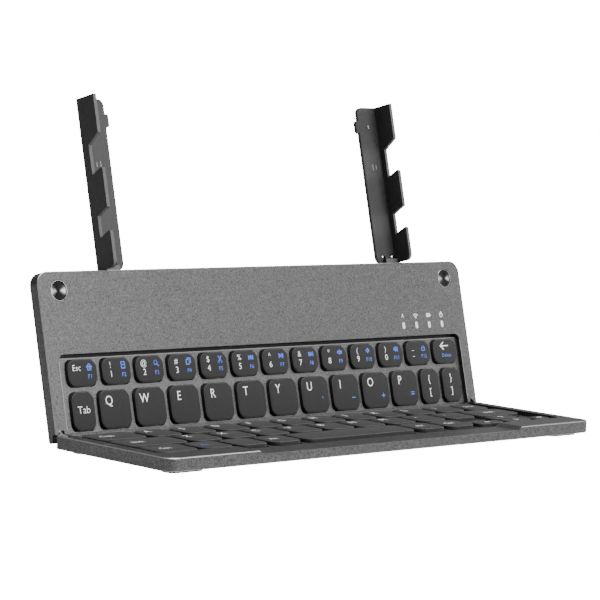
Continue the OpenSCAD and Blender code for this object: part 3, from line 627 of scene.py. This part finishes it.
# Signs as pen lines in a square from -1 to 1
SIGNS = {
    "home": [[(-1, 0), (0, 1), (1, 0)], box(-0.65, -1, 0.65, 0.1), [(0, -1), (0, -0.3)]],
    "page": [box(-0.7, -1, 0.7, 1), [(-0.7, 0.1), (0.7, 0.1)]],
    "search": [ring(-0.2, 0.2, 0.65), [(0.3, -0.3), (0.95, -0.95)]],
    "copy": [box(-0.9, -1, 0.4, 0.5), [(-0.4, 0.5), (-0.4, 1), (0.9, 1), (0.9, -0.5), (0.4, -0.5)]],
    "cut": [[(-0.6, 1), (0.5, -0.6)], [(0.6, 1), (-0.5, -0.6)], ring(0.6, -0.75, 0.25),
            ring(-0.6, -0.75, 0.25)],
    "previous": [[(0, -0.6), (-0.8, 0), (0, 0.6), (0, -0.6)],
                 [(0.9, -0.6), (0.1, 0), (0.9, 0.6), (0.9, -0.6)], [(-1, -0.6), (-1, 0.6)]],
    "play": [[(-0.9, -0.6), (-0.9, 0.6), (-0.1, 0), (-0.9, -0.6)], [(0.3, -0.6), (0.3, 0.6)],
             [(0.8, -0.6), (0.8, 0.6)]],
    "next": [[(0, -0.6), (0.8, 0), (0, 0.6), (0, -0.6)],
             [(-0.9, -0.6), (-0.1, 0), (-0.9, 0.6), (-0.9, -0.6)], [(1, -0.6), (1, 0.6)]],
    "mute": [SPEAKER, [(0.3, -0.4), (0.9, 0.4)], [(0.3, 0.4), (0.9, -0.4)]],
    "quieter": [SPEAKER, [(0.4, -0.4), (0.4, 0.4)]],
    "louder": [SPEAKER, [(0.3, -0.4), (0.3, 0.4)], [(0.8, -0.7), (0.8, 0.7)]],
    "lock": [box(-0.7, -1, 0.7, 0.1), ring(0, 0.1, 0.45, 0, 180, 8)],
    "waves": [ring(0, -0.8, 0.7, 45, 90, 6), ring(0, -0.8, 1.4, 45, 90, 8), ring(0, -0.8, 0.15)],
    "cell": [box(-0.9, -0.5, 0.7, 0.5), [(0.95, -0.2), (0.95, 0.2)], [(-0.5, -0.1), (0.3, -0.1)]],
    "power": [ring(0, -0.1, 0.75, 125, 290), [(0, 0.2), (0, 1)]],
}


def pen_mesh(lines, width):
    """Flat strips along polylines, a hair thick."""
    bm = bmesh.new()
    for line in lines:
        for (x0, y0), (x1, y1) in zip(line, line[1:]):
            run = Vector((x1 - x0, y1 - y0))
            if run.length == 0:
                continue
            run = run.normalized() * (width / 2)
            side = Vector((-run.y, run.x))
            corners = [Vector((x0, y0)) - run + side, Vector((x0, y0)) - run - side,
                       Vector((x1, y1)) + run - side, Vector((x1, y1)) + run + side]
            low = [bm.verts.new((c.x, c.y, -0.01)) for c in corners]
            top = [bm.verts.new((c.x, c.y, 0.01)) for c in corners]
            bm.faces.new(top)
            bm.faces.new(low[::-1])
            for k in range(4):
                bm.faces.new((low[k], low[(k + 1) % 4], top[(k + 1) % 4], top[k]))
    mesh = bpy.data.meshes.new("pen")
    bm.to_mesh(mesh)
    bm.free()
    return mesh


def sign(name, size, place, panel, pen=0.3):
    """(mesh, matrix) of a sign, size millimetres high, drawn with a pen of that share."""
    return pen_mesh(SIGNS[name], pen), (panel @ Matrix.Translation(place)
                                        @ Matrix.Diagonal((size / 2.2, size / 2.2, 1, 1)))


number_legends = [("Esc", ""), ("!", "1"), ("@", "2"), ("#", "3"), ("$", "4"), ("%", "5"),
                  ("^", "6"), ("&", "7"), ("*", "8"), ("(", "9"), (")", "0"), ("_", "-"), ("", "")]
number_signs = ["home", "page", "search", "copy", "cut", "previous", "play", "next", "mute",
                "quieter", "louder", "lock"]
letter_legends = ["Tab", "Q", "W", "E", "R", "T", "Y", "U", "I", "O", "P", "{\n[", "}\n]"]
blue_corner = {"u": "`", "i": "−", "o": "+", "p": "="}

for i, (name, (x, y, w, l)) in enumerate(zip(NUMBER_NAMES, number_row)):
    high, low = number_legends[i]
    if name == "esc":
        white = [words("Esc", 3.5, (x - 3.1, y + 2.0, LEGEND_Z), REAR, 0.03)]
    elif name == "backspace":
        white = [words("←", 6.0, (x - 0.4, y + 2.4, LEGEND_Z), REAR, 0.06, 1.3)]
    else:
        white = [words(high, 3.5, (x - 3.3, y + 2.5, LEGEND_Z), REAR, 0.03),
                 words(low, 3.8, (x - 3.1, y - 1.3, LEGEND_Z), REAR, 0.04)]
    piece("legend_" + name, white, [legend_white], "body_key_" + name)
    if name == "backspace":
        blue = [words("Delete", 2.3, (x + 0.6, y - 1.9, LEGEND_Z), REAR, 0.04)]
    else:
        blue = [words("F%d" % (i + 1), 2.5, (x + 3.6, y - 1.7, LEGEND_Z), REAR, 0.05),
                sign(number_signs[i], 2.9, (x + 3.5, y + 2.3, LEGEND_Z), REAR, 0.34)]
    piece("function_" + name, blue, [legend_blue], "body_key_" + name)
for name, text, (x, y, w, l) in zip(LETTER_NAMES, letter_legends, letter_row):
    if name == "tab":
        parts = [words("Tab", 4.3, (x, y + 0.4, LEGEND_Z), REAR, 0.03)]
    elif "\n" in text:
        top, bottom = text.split("\n")
        parts = [words(top, 4.4, (x - 0.6, y + 3.2, LEGEND_Z), REAR, 0.05),
                 words(bottom, 4.4, (x - 0.6, y - 2.6, LEGEND_Z), REAR, 0.05)]
    else:
        parts = [words(text, 5.6, (x - 3.2, y + 3.5, LEGEND_Z), REAR, 0.05, 0.88)]
    piece("legend_" + name, parts, [legend_white], "body_key_" + name)
    if name in blue_corner:
        symbol = words(blue_corner[name], 4.4, (x + 4.2, y - 2.8, LEGEND_Z), REAR, 0.06)
        piece("symbol_" + name, [symbol], [legend_blue], "body_key_" + name)

# Signs over the four lamps, the last one at LAMP_X
LAMP_X, LAMP_STEP = 108.65, 8.5
SIGN_UP, SIGN_Z = 41.7, -0.14
lamp_signs = [words("A", 2.9, (LAMP_X - 3 * LAMP_STEP, SIGN_UP, SIGN_Z), REAR, 0.03)]
lamp_signs += [sign(name, 2.7, (LAMP_X - LAMP_STEP * (2 - k), SIGN_UP, SIGN_Z), REAR, 0.4)
               for k, name in enumerate(("waves", "cell", "power"))]
piece("lamp_signs", lamp_signs, [legend_white], "rear_panel")

# On the flat flange of each arm: two short pale strokes, and the face of the pad's stud
stud_metal = plain("stud metal", grey(0.3), 0.4, 0.5)
for body, side in (("arm_left_body", -1), ("arm_right_body", 1)):
    flange = REAR @ Matrix.Translation((0, 0, ARM_FRONT + 0.012))
    marks = [[(side * 80.9, 110.6), (side * 80.9, 113.0)],
             [(side * 83.0, 111.0), (side * 83.0, 112.6)]]
    piece(body.replace("body", "marks"), [
        (pen_mesh(marks, 0.3), flange),
        (pen_mesh([[(side * 81.3, 130.2), (side * 81.3, 131.0)]], 0.9),
         flange @ Matrix.Translation((0, 0, 0.1)))], [stud_metal], body)

# Painted highlight strips beside the rear well, round its plate and along the lowered front rim:
# light lines where those edges catch the light
highlight_strip_paint = plain("painted highlight strip", grey(0.22), 0.4, 0.2)
WELL_X = 118.95
rim_highlight_lines = [[(side * WELL_X, 1.8), (side * WELL_X, REAR_WELL - 3)] for side in (-1, 1)]
piece("well_highlight_strip", [(pen_mesh(rim_highlight_lines, 0.3), REAR @ Matrix.Translation((0, 0, RIM_TOP))),
                    (pen_mesh([[(-117.4, REAR_WELL - 1.6), (117.4, REAR_WELL - 1.6)]], 0.3),
                     REAR @ Matrix.Translation((0, 0, PLATE_TOP)))], [highlight_strip_paint], "rear_panel")
piece("scoop_highlight_strip", [(pen_mesh([[(-76, -69.25), (76, -69.25)]], 0.45),
                      BASE @ Matrix.Translation((0, 0, -1.65)))], [highlight_strip_paint], "base")


def base_words(texts, row, size, dx=0.0, dy=0.0):
    return [words(t, size, (p[0] + dx, -p[1] + dy, LEGEND_Z), BASE, 0.06)
            for t, p in zip(texts, row) if t]


caps_words = base_words(["Caps"], caps_row, 3.6, -4.0)
caps_words += base_words([""] + list("ASDFGHJKL") + [";"], caps_row, 5.0, -3.2, 3.2)
caps_words.append(words("Enter", 3.0, (caps_row[11][0], -caps_row[11][1], LEGEND_Z), BASE, 0.03))
piece("legend_caps_row", caps_words, [legend_white], "body_keys_caps_row")
shift_words = base_words(["Shift"], shift_row, 3.6, -6.0)
shift_words += base_words([""] + list("ZXCVBNM,."), shift_row, 5.0, -3.2, 3.2)
shift_words.append(words("Shift", 3.6, (shift_row[10][0], -shift_row[10][1], LEGEND_Z), BASE, 0.05))
piece("legend_shift_row", shift_words, [legend_white], "body_keys_shift_row")
piece("legend_front_left", base_words(["Ctrl", "", "", "Alt"], front_row, 3.6, -2.0),
      [legend_white], "body_keys_front_left")
piece("function_front_left", base_words(["", "Fn"], front_row, 3.6, -2.0),
      [legend_blue], "body_keys_front_left")
arrow_words = base_words([""] * 5 + ["Alt", "Ctrl"], front_row, 3.6, -1.5)
for place, sign_text in ((front_row[7], "←"), (front_row[8], "↓"), (front_row[9], "→"),
                         (up_key, "↑")):
    arrow_words.append(words(sign_text, 4.6, (place[0], -place[1], LEGEND_Z), BASE, 0.05))
piece("legend_front_right", arrow_words, [legend_white], "body_keys_front_right")

# ---------- camera, floor and light ----------

FOCAL_PIXELS, PHOTO_PIXELS = 2622.6, 600
CAMERA_GLOW = 16.0


def photo_camera():
    """The camera that the photograph's perspective gives, 1.14 m from the fold's middle."""
    azimuth, elevation, roll = (math.radians(a) for a in (43.937, 4.859, 2.478))
    ahead = Vector((math.sin(azimuth) * math.cos(elevation),
                    math.cos(azimuth) * math.cos(elevation), -math.sin(elevation)))
    right = Vector((math.cos(azimuth), -math.sin(azimuth), 0.0))
    up = right.cross(ahead)
    across = right * math.cos(roll) + up * math.sin(roll)
    upward = up * math.cos(roll) - right * math.sin(roll)
    data = bpy.data.cameras.new("camera")
    data.sensor_width = 36.0
    data.lens = FOCAL_PIXELS / PHOTO_PIXELS * data.sensor_width
    data.clip_start, data.clip_end = 0.01, 50.0
    camera = bpy.data.objects.new("camera", data)
    turn = Matrix((across, upward, -ahead)).transposed()
    place = fold_line + Vector((-780.11, -817.25, 147.30)) * MM
    camera.matrix_world = Matrix.Translation(place) @ turn.to_4x4()
    bpy.context.scene.collection.objects.link(camera)
    bpy.context.scene.camera = camera


def brighter_to_camera(tree, base, extra, socket):
    """A strength of base, and of base + extra where the camera looks at it directly."""
    path = tree.nodes.new("ShaderNodeLightPath").outputs["Is Camera Ray"]
    strength = math_node(tree.nodes, tree.links, "MULTIPLY", path, extra)
    tree.links.new(math_node(tree.nodes, tree.links, "ADD", strength, base), socket)


def floor():
    mesh = bpy.data.meshes.new("floor")
    s = 40.0
    mesh.from_pydata([(-s, -s, 0), (s, -s, 0), (s, s, 0), (-s, s, 0)], [], [(0, 1, 2, 3)])
    obj = bpy.data.objects.new("floor", mesh)
    mat, shader, tree = material("floor paint", Base_Color=grey(0.85), Roughness=0.9,
                                 Emission_Color=grey(1.0))
    brighter_to_camera(tree, 0.0, CAMERA_GLOW, shader.inputs["Emission Strength"])
    mesh.materials.append(mat)
    bpy.context.scene.collection.objects.link(obj)


def area_light(name, place, target, size, power):
    data = bpy.data.lights.new(name, "AREA")
    data.shape = "SQUARE"
    data.size = size
    data.energy = power
    obj = bpy.data.objects.new(name, data)
    obj.location = place
    obj.rotation_euler = (Vector(target) - Vector(place)).to_track_quat("-Z", "Y").to_euler()
    bpy.context.scene.collection.objects.link(obj)


photo_camera()
floor()
area_light("front light", (0.5, -1.7, 0.7), (0, 0, 0.05), 1.0, 31)
area_light("right light", (1.7, -0.7, 0.5), (0, 0, 0.05), 0.8, 8)
area_light("top light", (0.2, -0.4, 1.6), (0, 0, 0.0), 1.2, 40)
world = bpy.data.worlds.new("studio")
bpy.context.scene.world = world
world.use_nodes = True
sky = world.node_tree.nodes["Background"]
# Less light from the left, where the photograph's faces are darker
toward = world.node_tree.nodes.new("ShaderNodeSeparateXYZ")
world.node_tree.links.new(world.node_tree.nodes.new("ShaderNodeTexCoord").outputs["Generated"],
                          toward.inputs[0])
ramp = world.node_tree.nodes.new("ShaderNodeMapRange")
ramp.inputs["From Min"].default_value = -1.0
ramp.inputs["To Min"].default_value = 0.04
ramp.inputs["To Max"].default_value = 0.42
world.node_tree.links.new(toward.outputs["X"], ramp.inputs["Value"])
sky.inputs[0].default_value = (1, 1, 1, 1)
brighter_to_camera(world.node_tree, ramp.outputs[0], CAMERA_GLOW, sky.inputs[1])
